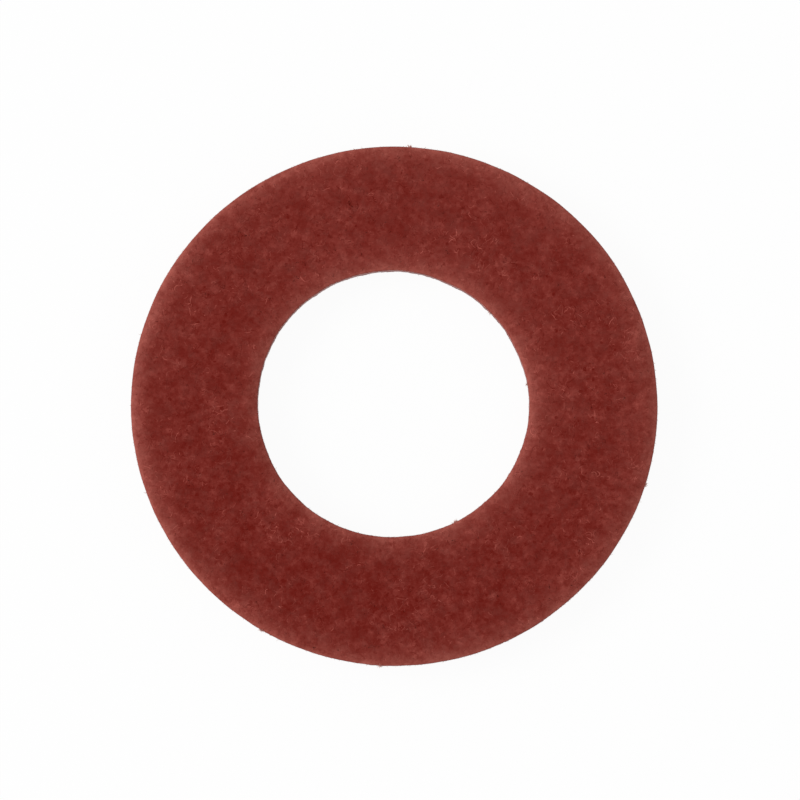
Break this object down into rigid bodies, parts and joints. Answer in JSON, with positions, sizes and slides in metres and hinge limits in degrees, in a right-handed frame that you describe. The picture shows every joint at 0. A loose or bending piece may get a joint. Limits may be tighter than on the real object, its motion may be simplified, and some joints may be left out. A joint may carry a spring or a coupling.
{
  "type": "fibre washer",
  "caption": "Flat ring washer punched from red vulcanised fibre, with a plain round bore, softly rolled rims on its upper face and a flat lower face.",
  "frame": {"origin": "on the bore's axis, in the lower face, which the washer lies on", "axes": "+Z along the bore's axis, from the flat lower face towards the upper face with the rolled rims; X and Y lie in the lower face and are equal, as the ring is round"},
  "size_m": [0.016, 0.016, 0.0015],
  "materials": {
    "red_fibre": "matte"
  },
  "bodies": {
    "root": {"fibre_washer": "red_fibre"}
  },
  "joints": []
}
